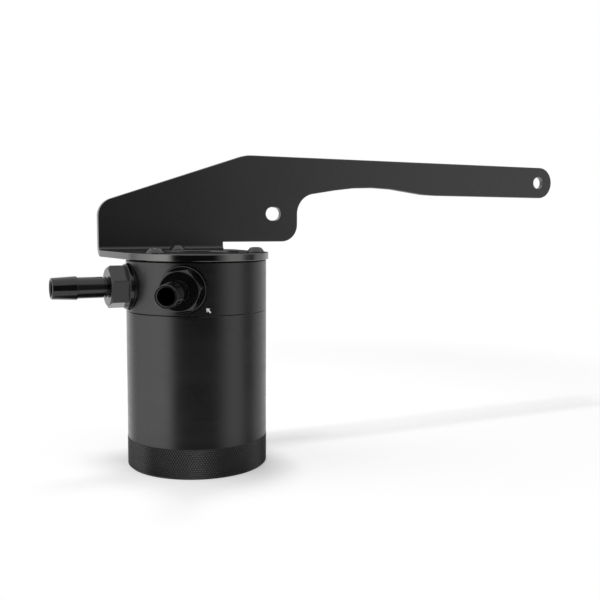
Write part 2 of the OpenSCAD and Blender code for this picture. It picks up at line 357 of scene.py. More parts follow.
def grow(name, tree, sizes):
    """Runs a geometry tree and keeps what it makes as a plain mesh."""
    piece = piece_from(name, [], [])
    modifier = piece.modifiers.new("grow", "NODES")
    modifier.node_group = tree
    for item in tree.interface.items_tree:
        if item.item_type == "SOCKET" and item.name in sizes:
            modifier[item.identifier] = sizes[item.name]
    settle(piece)
    return piece


def wrapped_grid(tree, columns, rows):
    """A grid to be wrapped round Z, and each point's column and row."""
    grid = place(tree, "GeometryNodeMeshGrid", {
        "Size X": columns,
        "Size Y": rows,
        "Vertices X": calc(tree, "ADD", columns, 1),
        "Vertices Y": calc(tree, "ADD", rows, 1),
    })
    spot = place(tree, "GeometryNodeInputPosition").outputs[0]
    axes = parts_of(tree, spot)
    column = calc(tree, "ADD", axes["X"], calc(tree, "DIVIDE", columns, 2.0))
    row = calc(tree, "ADD", axes["Y"], calc(tree, "DIVIDE", rows, 2.0))
    return grid.outputs["Mesh"], calc(tree, "ROUND", column), calc(tree, "ROUND", row)


def wrap(tree, mesh, angle, radius, height):
    """Wraps a grid round Z, welds its seam and splits its squares along the valleys."""
    x = calc(tree, "MULTIPLY", radius, calc(tree, "COSINE", angle))
    y = calc(tree, "MULTIPLY", radius, calc(tree, "SINE", angle))
    place_at = vector(tree, X=x, Y=y, Z=height)
    bent = place(tree, "GeometryNodeSetPosition", {"Geometry": mesh, "Position": place_at})
    welded = place(tree, "GeometryNodeMergeByDistance", {"Geometry": bent.outputs[0], "Distance": 0.00001})
    split = place(tree, "GeometryNodeTriangulate", {
        "Mesh": welded.outputs[0],
    }, quad_method="SHORTEST_DIAGONAL")
    return split.outputs[0]


def knurl_tree():
    """A band of diamond points: high and low points take turns in both directions.

    The attribute crest is 1 on the high points, so that a finish can paint them paler, as a painted
    highlight."""
    tree, given, result = new_tree("knurl_band", "GeometryNodeTree", [
        ("Valley Radius", "Float", 0.0322),
        ("Depth", "Float", 0.0003),
        ("Edge Radius", "Float", 0.0322),
        ("Low", "Float", 0.0),
        ("High", "Float", 0.01),
        ("Chamfer", "Float", 0.0002),
        ("Diamonds Around", "Int", 178),
        ("Rows", "Int", 13),
        ("Material", "Material", None),
    ], [("Geometry", "Geometry")])
    columns = calc(tree, "MULTIPLY", given["Diamonds Around"], 2.0)
    rows = calc(tree, "ADD", given["Rows"], 2.0)
    mesh, column, row = wrapped_grid(tree, columns, rows)
    angle = calc(tree, "DIVIDE", calc(tree, "MULTIPLY", column, math.tau), columns)
    step = calc(tree, "SUBTRACT", row, 1.0)
    climb = place(tree, "ShaderNodeClamp", {
        "Value": calc(tree, "DIVIDE", step, given["Rows"]), "Min": 0.0, "Max": 1.0,
    }).outputs[0]
    inner_low = calc(tree, "ADD", given["Low"], given["Chamfer"])
    span = calc(tree, "SUBTRACT", given["High"], calc(tree, "ADD", inner_low, given["Chamfer"]))
    height = calc(tree, "MULTIPLY_ADD", climb, span, inner_low)
    before = calc(tree, "LESS_THAN", row, 0.5)
    beyond = calc(tree, "GREATER_THAN", row, calc(tree, "SUBTRACT", rows, 0.5))
    slide = calc(tree, "MULTIPLY", calc(tree, "SUBTRACT", beyond, before), given["Chamfer"])
    is_low = calc(tree, "FLOORED_MODULO", calc(tree, "ADD", column, step), 2.0)
    is_high = calc(tree, "SUBTRACT", 1.0, is_low)
    point_r = calc(tree, "MULTIPLY_ADD", given["Depth"], is_high, given["Valley Radius"])
    at_edge = calc(tree, "ADD", before, beyond)
    radius = mix_value(tree, at_edge, point_r, given["Edge Radius"])
    marked = place(tree, "GeometryNodeStoreNamedAttribute", {
        "Geometry": mesh, "Name": "crest",
        "Value": calc(tree, "MULTIPLY", is_high, calc(tree, "SUBTRACT", 1.0, at_edge)),
    }, data_type="FLOAT", domain="POINT")
    band = wrap(tree, marked.outputs[0], angle, radius, calc(tree, "ADD", height, slide))
    end_tree(tree, band, given["Material"], result)
    return tree


def thread_tree():
    """A screw thread: the wall rises and falls with a helix, and runs out at both ends."""
    tree, given, result = new_tree("thread_band", "GeometryNodeTree", [
        ("Radius", "Float", 0.029),
        ("Depth", "Float", 0.0008),
        ("Pitch", "Float", 0.0015),
        ("Low", "Float", 0.0),
        ("High", "Float", 0.01),
        ("Columns", "Int", 192),
        ("Rows", "Int", 50),
        ("Material", "Material", None),
    ], [("Geometry", "Geometry")])
    mesh, column, row = wrapped_grid(tree, given["Columns"], given["Rows"])
    turn = calc(tree, "DIVIDE", column, given["Columns"])
    climb = calc(tree, "DIVIDE", row, given["Rows"])
    span = calc(tree, "SUBTRACT", given["High"], given["Low"])
    height = calc(tree, "MULTIPLY_ADD", climb, span, given["Low"])
    phase = calc(tree, "SUBTRACT", calc(tree, "DIVIDE", height, given["Pitch"]), turn)
    wave = calc(tree, "PINGPONG", calc(tree, "MULTIPLY", phase, 2.0), 1.0)
    flank = ramp_value(tree, wave, 0.12, 0.88)
    from_end = calc(tree, "MINIMUM", climb, calc(tree, "SUBTRACT", 1.0, climb))
    run_out = ramp_value(tree, from_end, 0.0, 0.12)
    rise = calc(tree, "MULTIPLY", calc(tree, "MULTIPLY", flank, run_out), given["Depth"])
    radius = calc(tree, "ADD", given["Radius"], rise)
    angle = calc(tree, "MULTIPLY", turn, math.tau)
    end_tree(tree, wrap(tree, mesh, angle, radius, height), given["Material"], result)
    return tree


def screw_ring_tree():
    """Copies of one screw on a circle, each turned by chance, as a fitter leaves it."""
    tree, given, result = new_tree("screw_ring", "GeometryNodeTree", [
        ("Screw", "Object", None),
        ("Count", "Int", 3),
        ("Circle Radius", "Float", 0.0277),
        ("Height", "Float", 0.0985),
        ("First Angle", "Float", math.pi / 2),
        ("Seed", "Int", 4),
        ("Material", "Material", None),
    ], [("Geometry", "Geometry")])
    circle = place(tree, "GeometryNodeMeshCircle", {
        "Vertices": given["Count"], "Radius": given["Circle Radius"],
    })
    seat = place(tree, "GeometryNodeTransform", {
        "Geometry": circle.outputs[0],
        "Translation": vector(tree, Z=given["Height"]),
        "Rotation": vector(tree, Z=given["First Angle"]),
    })
    chance = place(tree, "FunctionNodeRandomValue", {"Seed": given["Seed"]}, data_type="FLOAT")
    spin = calc(tree, "MULTIPLY", chance.outputs[1], math.tau)
    screws = place(tree, "GeometryNodeInstanceOnPoints", {
        "Points": seat.outputs[0],
        "Instance": place(tree, "GeometryNodeObjectInfo", {"Object": given["Screw"]}).outputs["Geometry"],
        "Rotation": vector(tree, Z=spin),
    })
    end_tree(tree, screws.outputs[0], given["Material"], result)
    return tree


thread_band = thread_tree()


# Effects that several finishes share

def grain_group():
    """Fine blasted or sprayed grain: a height for bump, and a mask that drifts with it."""
    tree, given, result = new_tree("grain", "ShaderNodeTree", [
        ("Vector", "Vector", None),
        ("Fine Scale", "Float", 2200.0),
        ("Coarse Scale", "Float", 500.0),
        ("Coarse Share", "Float", 0.4),
    ], [("Height", "Float"), ("Mask", "Float")])
    fine = place(tree, "ShaderNodeTexNoise", {
        "Vector": given["Vector"], "Scale": given["Fine Scale"], "Detail": 2.0, "Roughness": 0.55,
    })
    coarse = place(tree, "ShaderNodeTexNoise", {
        "Vector": given["Vector"], "Scale": given["Coarse Scale"], "Detail": 3.0, "Roughness": 0.5,
    })
    blend = mix_value(tree, given["Coarse Share"], fine.outputs[0], coarse.outputs[0])
    tree.links.new(blend, result["Height"])
    tree.links.new(coarse.outputs[0], result["Mask"])
    return tree


def tool_mark_group():
    """Lathe marks: fine lines that run round Z, on walls and on end faces."""
    tree, given, result = new_tree("tool_marks", "ShaderNodeTree", [
        ("Vector", "Vector", None),
        ("Lines", "Float", 5000.0),
        ("Bands", "Float", 260.0),
    ], [("Height", "Float"), ("Mask", "Float")])
    axes = parts_of(tree, given["Vector"])
    flat = vector(tree, X=axes["X"], Y=axes["Y"])
    radius = vector_calc(tree, "LENGTH", flat)["Value"]
    along = vector(tree, X=radius, Z=axes["Z"])
    fine = place(tree, "ShaderNodeTexNoise", {"Vector": along, "Scale": given["Lines"], "Detail": 1.0})
    bands = place(tree, "ShaderNodeTexNoise", {"Vector": along, "Scale": given["Bands"], "Detail": 2.0})
    tree.links.new(fine.outputs[0], result["Height"])
    tree.links.new(bands.outputs[0], result["Mask"])
    return tree


def drift_group():
    """Slow cloudy change over a surface, for tone and gloss that is never quite even."""
    tree, given, result = new_tree("drift", "ShaderNodeTree", [
        ("Vector", "Vector", None),
        ("Scale", "Float", 45.0),
        ("Low", "Float", 0.0),
        ("High", "Float", 1.0),
    ], [("Value", "Float")])
    cloud = place(tree, "ShaderNodeTexNoise", {
        "Vector": given["Vector"], "Scale": given["Scale"], "Detail": 4.0, "Roughness": 0.6,
    })
    level = ramp_value(tree, cloud.outputs[0], 0.3, 0.7, given["Low"], given["High"])
    tree.links.new(level, result["Value"])
    return tree


grain = grain_group()
tool_marks = tool_mark_group()
drift = drift_group()


# Finishes

def shader(name, **settings):
    """A material with a Principled shader, and that shader."""
    material = bpy.data.materials.new(name)
    material.use_nodes = True
    surface = material.node_tree.nodes["Principled BSDF"]
    for label, value in settings.items():
        surface.inputs[label.replace("_", " ")].default_value = value
    return material, material.node_tree, surface


def effect(tree, group, spot, **settings):
    """Places a shared effect with its own values and gives its outputs."""
    values = {label.replace("_", " "): value for label, value in settings.items()}
    return place(tree, "ShaderNodeGroup", {"Vector": spot, **values}, node_tree=group).outputs


def here(tree):
    """Object coordinates."""
    return place(tree, "ShaderNodeTexCoord").outputs["Object"]


def between(tree, mask, first, second):
    """A colour that runs from one colour, or colour socket, to another with a mask."""
    pair = [c if isinstance(c, bpy.types.NodeSocket) else (*c, 1) for c in (first, second)]
    return place(tree, "ShaderNodeMix", {"Factor": mask, 6: pair[0], 7: pair[1]}, data_type="RGBA").outputs[2]


def spread(tree, mask, low, high):
    """A value that runs from low to high with a mask."""
    return ramp_value(tree, mask, 0.3, 0.7, low, high)


def finish_with(tree, surface, tone, roughness):
    """Gives a surface its colour and its roughness."""
    tree.links.new(tone, surface.inputs["Base Color"])
    tree.links.new(roughness, surface.inputs["Roughness"])


def bump(tree, surface, height, depth, after=None):
    """Bumps a surface by a height, over an earlier bump if there is one."""
    inputs = {"Height": height, "Strength": 1.0, "Distance": depth * MM}
    if after is not None:
        inputs["Normal"] = after
    normal = place(tree, "ShaderNodeBump", inputs).outputs[0]
    tree.links.new(normal, surface.inputs["Normal"])
    return normal


def anodised():
    """Satin black anodising over turned and blasted aluminium, with a painted highlight on the knurl's
    points.
    """
    material, tree, surface = shader("body_black", IOR=1.6)
    spot = here(tree)
    marks = effect(tree, tool_marks, spot, Lines=4200.0, Bands=300.0)
    grit = effect(tree, grain, spot, Fine_Scale=3600.0, Coarse_Scale=700.0)
    cloud = effect(tree, drift, spot, Scale=38.0)
    black = between(tree, cloud["Value"], (0.0048, 0.0048, 0.0051), (0.0072, 0.0071, 0.0074))
    # The knurl's high points are painted paler: a painted highlight, standing in for light caught by the
    # facets.
    crest = place(tree, "ShaderNodeAttribute", attribute_name="crest").outputs["Fac"]
    painted_highlight = calc(tree, "POWER", crest, 2.0)
    tone = between(tree, painted_highlight, black, (0.080, 0.080, 0.081))
    streaks = spread(tree, marks["Mask"], -0.02, 0.02)
    finish_with(tree, surface, tone, calc(tree, "ADD", streaks, spread(tree, cloud["Value"], 0.28, 0.31)))
    first = bump(tree, surface, marks["Height"], 0.0022)
    bump(tree, surface, grit["Height"], 0.0030, first)
    return material


def coated():
    """Satin black on the bracket's sheet; its cut edge was machined bright before it was blacked."""
    material, tree, surface = shader("bracket_coat", IOR=1.6)
    spot = here(tree)
    peel = effect(tree, grain, spot, Fine_Scale=1500.0, Coarse_Scale=330.0, Coarse_Share=0.55)
    cloud = effect(tree, drift, spot, Scale=22.0)
    face_tone = between(tree, cloud["Value"], (0.0055, 0.0053, 0.0052), (0.0078, 0.0075, 0.0073))
    rim = place(tree, "ShaderNodeAttribute", attribute_name="cut_edge").outputs["Fac"]
    tone = between(tree, rim, face_tone, (0.140, 0.139, 0.137))
    face_rough = spread(tree, cloud["Value"], 0.26, 0.30)
    finish_with(tree, surface, tone, calc(tree, "SUBTRACT", face_rough, calc(tree, "MULTIPLY", rim, 0.13)))
    tree.links.new(rim, surface.inputs["Metallic"])
    bump(tree, surface, peel["Height"], 0.0055)
    return material


def fitting_black(name, turn):
    """Bright-dipped black on a fitting, with lathe marks round its own axis."""
    material, tree, surface = shader(name, IOR=1.52)
    spot = here(tree)
    centred = vector_calc(tree, "SUBTRACT", spot, (0, 0, port_z * MM))["Vector"]
    about_z = place(tree, "ShaderNodeMapping", {
        "Vector": centred, "Rotation": (0, 0, -math.radians(turn)),
    })
    upright = place(tree, "ShaderNodeMapping", {
        "Vector": about_z.outputs[0], "Rotation": (0, -math.pi / 2, 0),
    }).outputs[0]
    marks = effect(tree, tool_marks, upright, Lines=6000.0, Bands=700.0)
    cloud = effect(tree, drift, spot, Scale=120.0)
    tone = between(tree, cloud["Value"], (0.0030, 0.0030, 0.0031), (0.0048, 0.0047, 0.0046))
    streaks = spread(tree, marks["Mask"], -0.02, 0.02)
    finish_with(tree, surface, tone, calc(tree, "ADD", streaks, spread(tree, cloud["Value"], 0.09, 0.12)))
    bump(tree, surface, marks["Height"], 0.0016)
    return material


def screw_black():
    """Black oxide on the bracket's screws, a little mottled."""
    material, tree, surface = shader("screw_black", IOR=1.6)
    spot = here(tree)
    grit = effect(tree, grain, spot, Fine_Scale=4200.0, Coarse_Scale=1100.0)
    tone = between(tree, grit["Mask"], (0.010, 0.010, 0.010), (0.018, 0.017, 0.016))
    finish_with(tree, surface, tone, spread(tree, grit["Mask"], 0.13, 0.18))
    bump(tree, surface, grit["Height"], 0.0025)
    return material


def rubber(name, darkest, palest, rough):
    """Moulded black rubber."""
    material, tree, surface = shader(name, IOR=1.38)
    spot = here(tree)
    grit = effect(tree, grain, spot, Fine_Scale=3000.0, Coarse_Scale=600.0)
    cloud = effect(tree, drift, spot, Scale=150.0)
    tone = between(tree, cloud["Value"], (darkest,) * 3, (palest,) * 3)
    finish_with(tree, surface, tone, spread(tree, grit["Mask"], rough - 0.04, rough + 0.04))
    bump(tree, surface, grit["Height"], 0.004)
    return material


def bare_steel():
    """Plain bright steel with lathe and rolling marks."""
    material, tree, surface = shader("bare_steel", Metallic=1.0)
    spot = here(tree)
    marks = effect(tree, tool_marks, spot, Lines=3500.0, Bands=500.0)
    cloud = effect(tree, drift, spot, Scale=90.0)
    tone = between(tree, cloud["Value"], (0.50, 0.50, 0.49), (0.60, 0.60, 0.59))
    finish_with(tree, surface, tone, spread(tree, marks["Mask"], 0.26, 0.36))
    bump(tree, surface, marks["Height"], 0.003)
    return material


def sintered_bronze():
    """Bronze beads pressed and sintered into a porous wall, with painted shade in the gaps between the beads.
    """
    material, tree, surface = shader("sintered_bronze", Metallic=1.0)
    spot = here(tree)
    beads = place(tree, "ShaderNodeTexVoronoi", {"Vector": spot, "Scale": 3200.0}, feature="F1")
    pits_and_shade = ramp_value(tree, beads.outputs["Distance"], 0.2, 0.7)
    # The gaps between the beads are painted darker: painted shade in the pores.
    tone = between(tree, pits_and_shade, (0.56, 0.36, 0.16), (0.16, 0.09, 0.04))
    finish_with(tree, surface, tone, spread(tree, pits_and_shade, 0.42, 0.62))
    bump(tree, surface, calc(tree, "SUBTRACT", 1.0, beads.outputs["Distance"]), 0.06)
    return material


def print_white():
    """Thin white pad print, worn a little uneven."""
    material, tree, surface = shader("print_white", IOR=1.5)
    grit = effect(tree, grain, here(tree), Fine_Scale=6000.0, Coarse_Scale=2200.0)
    tone = between(tree, spread(tree, grit["Mask"], 0.0, 1.0), (0.50, 0.50, 0.50), (0.78, 0.78, 0.77))
    finish_with(tree, surface, tone, spread(tree, grit["Mask"], 0.45, 0.6))
    return material


finish = {
    "body": anodised(),
    "bracket": coated(),
    "inlet": fitting_black("fitting_black_inlet", inlet_turn),
    "outlet": fitting_black("fitting_black_outlet", outlet_turn),
    "screw": screw_black(),
    "washer": rubber("washer_black", 0.006, 0.009, 0.34),
    "seal": rubber("seal_rubber", 0.010, 0.016, 0.52),
    "steel": bare_steel(),
    "bronze": sintered_bronze(),
    "print": print_white(),
}


def hand_over(piece, finish_name, body, slot, *nodes):
    """Gives a finished piece its material and its body, and hides the nodes that it stands for."""
    piece.data.materials.clear()
    piece.data.materials.append(finish[finish_name])
    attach(piece, body)
    if nodes:
        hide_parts(*nodes)


def dress(finish_name, *nodes):
    """Gives CAD nodes that stay in view a better material."""
    for node in nodes:
        for material_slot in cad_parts[node].material_slots:
            material_slot.material = finish[finish_name]


def cut_thread(name, radius, depth, low, high, columns, rows):
    """A wall with a screw thread between two heights."""
    return grow(name, thread_band, {
        "Radius": radius * MM, "Depth": depth * MM, "Pitch": thread_pitch * MM,
        "Low": low * MM, "High": high * MM, "Columns": columns, "Rows": rows,
        "Material": finish["body"],
    })


# The cup

def make_cup():
    """The turned cup: knurled band outside, thread inside its mouth."""
    diamonds, diamond_rows = 178, 13
    knurl_depth, knurl_chamfer = 0.26, 0.2
    columns = 2 * diamonds
    foot_r = grip_r - 0.75
    foot = body_r - foot_r
    bore_r = 29.2
    thread_low, thread_high = 57.2, 70.2
    thread_depth = 0.45
    wall, floor_z, floor_round = 3.6, 5, 3
    inner_r = body_r - wall
    outside = eased([
        (body_r, band_top), (body_r, seam_z - 0.3), (body_r - 0.3, seam_z),
        (bore_r + 0.6, seam_z), (bore_r, seam_z - 0.6), (bore_r, thread_high),
    ], 0.08)
    inside = rounded([
        (bore_r, thread_low, 0), (bore_r, 55.4, 0), (inner_r, 54.8, 0),
        (inner_r, floor_z, floor_round), (0, floor_z, 0),
    ])
    underside = [(0, 0), (foot_r - 0.15, 0), (foot_r, 0.05), (body_r, foot)]
    shell = turned("cup_shell", underside, columns)
    parts = [turned("wall", outside, columns), turned("inside", inside, columns)]
    parts.append(grow("knurl", knurl_tree(), {
        "Valley Radius": (grip_r - knurl_depth) * MM, "Depth": knurl_depth * MM, "Edge Radius": body_r * MM,
        "Low": foot * MM, "High": band_top * MM, "Chamfer": knurl_chamfer * MM,
        "Diamonds Around": diamonds, "Rows": diamond_rows, "Material": finish["body"],
    }))
    parts.append(cut_thread("bore_thread", bore_r, thread_depth, thread_low, thread_high, columns, 70))
    join(shell, parts)
    point_outwards(shell)
    smooth(shell)
    hand_over(shell, "body", "cup", "body_black", "cup")


# The head

def make_head():
    """The ported head: a turned blank, then its chambers, ports and screw holes cut."""
    segments = 288
    spigot_z, spigot_r = head_low.z, 28.9
    thread_root = spigot_r - 0.8
    groove_low, groove_high, groove_r = 67.5, 70.3, 26.4
    ceiling_z, chamber_r = 74, 25.6
    boss_r = 19.6
    blank = turned("head_body", eased([
        (0, ceiling_z), (chamber_r, ceiling_z), (chamber_r, spigot_z), (spigot_r - 0.9, spigot_z),
        (thread_root, spigot_z + 0.8), (thread_root, 67.0), (spigot_r, 67.2), (spigot_r, groove_low),
        (groove_r, groove_low), (groove_r, groove_high), (spigot_r, groove_high), (spigot_r, seam_z),
        (body_r - 0.3, seam_z), (body_r, seam_z + 0.3), (body_r, flange_z - 0.7), (body_r - 0.7, flange_z),
        (boss_r, flange_z), (boss_r, boss_top - 0.3), (boss_r - 0.3, boss_top), (0, boss_top),
    ], 0.08), segments)
    point_outwards(blank)
    filter_holder = rod(13, 62, ceiling_z + 1, 96)
    posts = on_circle(post_circle_r, post_turns, 3.4, 60.4, ceiling_z + 1, 48)
    cut(blank, [filter_holder, *posts], "UNION")
    cut(blank, head_cutters())
    thread = cut_thread("spigot_thread", thread_root - 0.02, 0.85, 57.8, 66.9, 192, 60)
    close_sleeve(thread, thread_root - 0.6)
    join(blank, [thread])
    smooth(blank)
    hand_over(blank, "body", "head", "body_black", "head")


def close_sleeve(piece, inner_r):
    """Closes a wrapped band into a ring with a hidden inner wall."""
    mesh = open_mesh(piece)
    open_edges = [e for e in mesh.edges if e.is_boundary]
    grown = bmesh.ops.extrude_edge_only(mesh, edges=open_edges)["geom"]
    for vert in (g for g in grown if isinstance(g, bmesh.types.BMVert)):
        flat = Vector((vert.co.x, vert.co.y, 0)).normalized() * inner_r * MM
        vert.co = Vector((flat.x, flat.y, vert.co.z))
    inner = [e for e in mesh.edges if e.is_boundary]
    bmesh.ops.bridge_loops(mesh, edges=inner)
    close_mesh(mesh, piece)


def head_cutters():
    """Everything that is bored or milled out of the head."""
    filter_bore = rod(9.5, 61, 76)
    outlet_chamber = rod(7.5, 75, 90.5)
    filter_ring_groove = rod(10.35, 62.45, 63.75)
    tools = [filter_bore, outlet_chamber, filter_ring_groove]
    thread_bore = (6.6, 20.5, 31.4)
    seal_seat = (8.1, 28.5, 31.4)
    spot_face = (10.6, collar_z, 36)
    ducts = {inlet_turn: (4.4, 14.5, 21), outlet_turn: (4.5, 6.5, 21.5)}
    for turn, duct in ducts.items():
        for radius, low, high in (duct, thread_bore, seal_seat, spot_face):
            tool = rod(radius, low, high, 96)
            move(tool, at_port(turn))
            tools.append(tool)
    tools += on_circle(tube_circle_r, [inlet_turn], 4.2, 73, port_z, 48)
    tools += on_circle(screw_circle_r, screw_turns, 2.05, 87, 100, 32)
    tools += on_circle(post_circle_r, post_turns, 1.3, 58, 67.9, 24)
    return tools


# The fittings

def hexagon(across_flats, turn, ease, per_side):
    """Corners of a hexagon as (radius, angle) pairs, with eased corners and split sides."""
    corner_r = across_flats / 2 / math.cos(math.pi / 6)
    corners = []
    for i in range(6):
        t = math.radians(turn + 60 * i)
        corners.append((corner_r * math.cos(t), corner_r * math.sin(t)))
    loop = rounded(corners, ease, 20)
    points = []
    for i, point in enumerate(loop):
        after = loop[(i + 1) % len(loop)]
        span = math.dist(point, after)
        count = per_side if span > 2 * ease else 1
        for k in range(count):
            points.append(Vector(point).lerp(Vector(after), k / count))
    return [(p.length, math.atan2(p.y, p.x)) for p in points]


def ring_on(shape, radius, height):
    """A round ring whose points stand at the angles of a shape."""
    return [(radius * math.cos(t), radius * math.sin(t), height) for _, t in shape]


def hex_chamfer(shape, top, flat_r, slope):
    """The line where a hexagon's sides meet the chamfer cone of its end face."""
    points = []
    for radius, t in shape:
        height = top - (radius - flat_r) * slope
        points.append((radius * math.cos(t), radius * math.sin(t), height))
    return points


def hose_fitting(name, turn, hex_turn, node, finish_name):
    """Threaded end, collar, hexagon, bead, stem and one long barb, turned from one bar."""
    shape = hexagon(17, hex_turn, 0.22, 14)
    reach = -outlet_low.x
    collar = collar_z + 1.5
    hex_low = collar + 1.9
    hex_top = hex_low + 7.9
    slope = 0.62
    flat_r = 8.3
    stem_r = 4.7
    groove_r = 4.15
    barb_r = 5.2
    barb_low = reach - 10.9
    inner = [(3.4, 21.5), (6.0, 21.5), (6.5, 22.0),
             (6.5, collar_z - 1.9), (6.15, collar_z - 1.8), (6.15, collar)]
    flange = [(10.0, collar), (10.2, collar + 0.2), (10.2, hex_low - 0.25), (9.95, hex_low)]
    neck = rounded([
        (flat_r, hex_top, 0), (groove_r, hex_top, 0.1), (groove_r, hex_top + 0.6, 0),
        (stem_r, hex_top + 0.65, 0.1), (stem_r, hex_top + 1.3, 0.1), (groove_r, hex_top + 1.35, 0),
        (groove_r, hex_top + 1.95, 0), (stem_r, hex_top + 2.0, 0.1),
        (stem_r, barb_low, 0.1), (barb_r, barb_low + 0.05, 0.12), (barb_r, barb_low + 0.8, 0.4),
        (4.7, reach - 0.3, 0.25), (4.45, reach, 0.15), (4.0, reach, 0.1), (3.4, reach - 0.6, 0),
    ])
    rings = [ring_on(shape, r, z) for r, z in eased(inner, 0.1) + eased(flange, 0.08)]
    rings.append([(r * math.cos(t), r * math.sin(t), hex_low) for r, t in shape])
    rings.append(hex_chamfer(shape, hex_top, flat_r, slope))
    rings += [ring_on(shape, r, z) for r, z in neck]
    piece = piece_from(name, *lathe(rings, closed=True))
    move(piece, at_port(turn))
    point_outwards(piece)
    edge = piece.modifiers.new("edge", "BEVEL")
    edge.width = 0.10 * MM
    edge.segments = 2
    edge.limit_method = "ANGLE"
    edge.angle_limit = math.radians(28)
    settle(piece)
    smooth(piece, math.radians(32))
    hand_over(piece, finish_name, "head", "fitting_black", node)


def make_washer(name, turn, node):
    """The dark ring between a collar and its spot face."""
    low, high = collar_z, -washer_low.x
    washer = turned(name, rounded([
        (6.25, low), (10.1, low), (10.1, high), (6.25, high),
    ], 0.3), 128, closed=True)
    move(washer, at_port(turn))
    point_outwards(washer)
    smooth(washer)
    hand_over(washer, "washer", "head", "washer_black", node)


def make_cup_seal():
    """The rubber ring in the spigot's groove."""
    section = (seal_high.z - seal_low.z) / 2
    mid_r = seal_high.x - section
    mid_z = (seal_high.z + seal_low.z) / 2
    ring = turned("cup_seal_ring", arc((mid_r, mid_z), section, 0, 345, 15), 224, closed=True)
    point_outwards(ring)
    smooth(ring, math.radians(40))
    hand_over(ring, "seal", "seal", "seal_rubber", "cup_seal")


# The bracket's screws

def button_screw():
    """One button-head screw with a hexagon socket, standing on its seat at Z = 0."""
    shape = hexagon(2.5, 0, 0.1, 4)
    head_r = (screw_high.x - screw_low.x) / 2
    head_h = screw_high.z - sheet_top
    shank = sheet_top - screw_low.z
    socket_z = head_h - 1.4
    socket = [[(0, 0, socket_z)]]
    for scale, height in ((1.0, socket_z), (1.0, head_h - 0.12), (1.08, head_h)):
        socket.append([(scale * r * math.cos(t), scale * r * math.sin(t), height) for r, t in shape])
    dome = rounded([
        (2.3, head_h, 0.12), (3.4, 1.25, 0.9), (head_r, 0.35, 0.08), (head_r, 0, 0.08), (2, 0, 0),
        (2, -shank + 0.6, 0), (1.5, -shank, 0),
    ])
    rings = socket + [ring_on(shape, r, z) for r, z in dome[1:]] + [[(0, 0, -shank)]]
    piece = piece_from("screw_pattern", *lathe(rings))
    point_outwards(piece)
    smooth(piece, math.radians(30))
    return piece


def make_screws():
    """Three button-head screws round the flange."""
    pattern = button_screw()
    screws = grow("bracket_screws", screw_ring_tree(), {
        "Screw": pattern, "Count": 3, "Circle Radius": screw_circle_r * MM, "Height": sheet_top * MM,
        "First Angle": math.pi / 2, "Material": finish["screw"],
    })
    bpy.data.objects.remove(pattern)
    hand_over(screws, "screw", "head", "screw_black", "bracket_screw_1", "bracket_screw_2", "bracket_screw_3")


# The bracket: a flat blank, folded once

arm_w = 18.8
fold_in_r = 2.0
fold_mid_r = fold_in_r + sheet_t / 2
fold_y = sheet_high.y - sheet_t - fold_in_r
fold_z = sheet_top + fold_in_r
fold_length = fold_mid_r * math.pi / 2


def circle(x, y, radius, step=5):
    """A closed round loop."""
    return arc((x, y), radius, 0, 360 - step, step)


def slot_loop(x, y, length, width):
    """A closed loop with round ends."""
    half = (length - width) / 2
    return arc((x + half, y), width / 2, -90, 90, 7.5) + arc((x - half, y), width / 2, 90, 270, 7.5)


def plate_v(z):
    """How far up the flat blank a height of the plate lies."""
    return fold_length + z - fold_z


def blank_outline():
    """The blank's outline, with the flange below zero and the plate above the fold."""
    left, right = sheet_low.x, sheet_high.x
    flange_r = -sheet_low.y
    flange_right = 31.3
    fold_right = 27.4
    top = sheet_high.z
    arm_low = top - arm_w
    end_r = arm_w / 2 - 0.01
    step_x, plate_foot = 70.1, 102.1
    plate_y = sheet_high.y - sheet_t
    far = math.hypot(left, plate_y)
    touch = math.degrees(math.atan2(plate_y, left) + math.acos(flange_r / far))
    meet = 360 + math.degrees(math.acos(flange_right / flange_r))
    front = arc((0, -fold_y), flange_r, touch, meet, 3)
    plate = [
        (flange_right, 0, 3), (fold_right, 0, 0), (fold_right, plate_v(plate_foot), 0),
        (step_x, plate_v(plate_foot), 9), (step_x, plate_v(126.1), 11), (117.5, plate_v(133.8), 150),
        (151, plate_v(arm_low), 110), (right, plate_v(arm_low), end_r), (right, plate_v(top), end_r),
        (40.2, plate_v(top), 20), (left, plate_v(121.5), 9), (left, 0, 0),
    ]
    return rounded([(*p, 0) for p in front] + plate, 0, 5)


def blank_holes():
    """The boss hole, the three screw holes and the two fixing slots."""
    holes = [circle(0, -fold_y, 20.0, 4)]
    for turn in screw_turns:
        t = math.radians(turn)
        holes.append(circle(screw_circle_r * math.cos(t), screw_circle_r * math.sin(t) - fold_y, 2.2, 12))
    holes.append(slot_loop(56, plate_v(116.8), 8.7, 7.0))
    holes.append(slot_loop(sheet_high.x - 10.5, plate_v(sheet_high.z - arm_w / 2), 7.5, 7.0))
    return holes


def flat_blank(outline, holes, edge, steps):
    """A closed flat sheet with round edges; its third coordinate runs through the sheet."""
    loops = [outline] + [hole[::-1] for hole in holes]
    half = sheet_t / 2
    levels = []
    for i in range(steps + 1):
        t = math.pi / 2 * i / steps
        levels.append((edge * (1 - math.sin(t)), half - edge * (1 - math.cos(t))))
    levels += [(inset, -w) for inset, w in reversed(levels)]
    points, faces = [], []
    for loop in loops:
        rings = [[(x, y, w) for x, y in offset(loop, inset)] for inset, w in levels]
        ring_points, ring_faces = lathe(rings)
        faces += [[len(points) + i for i in face] for face in ring_faces]
        points += ring_points
    for inset, w in (levels[0], levels[-1]):
        rings = [[Vector((x, y, w)) for x, y in offset(loop, inset)] for loop in loops]
        start = len(points)
        points += [p for ring in rings for p in ring]
        faces += [[start + i for i in face] for face in tessellate_polygon(rings)]
    return points, faces


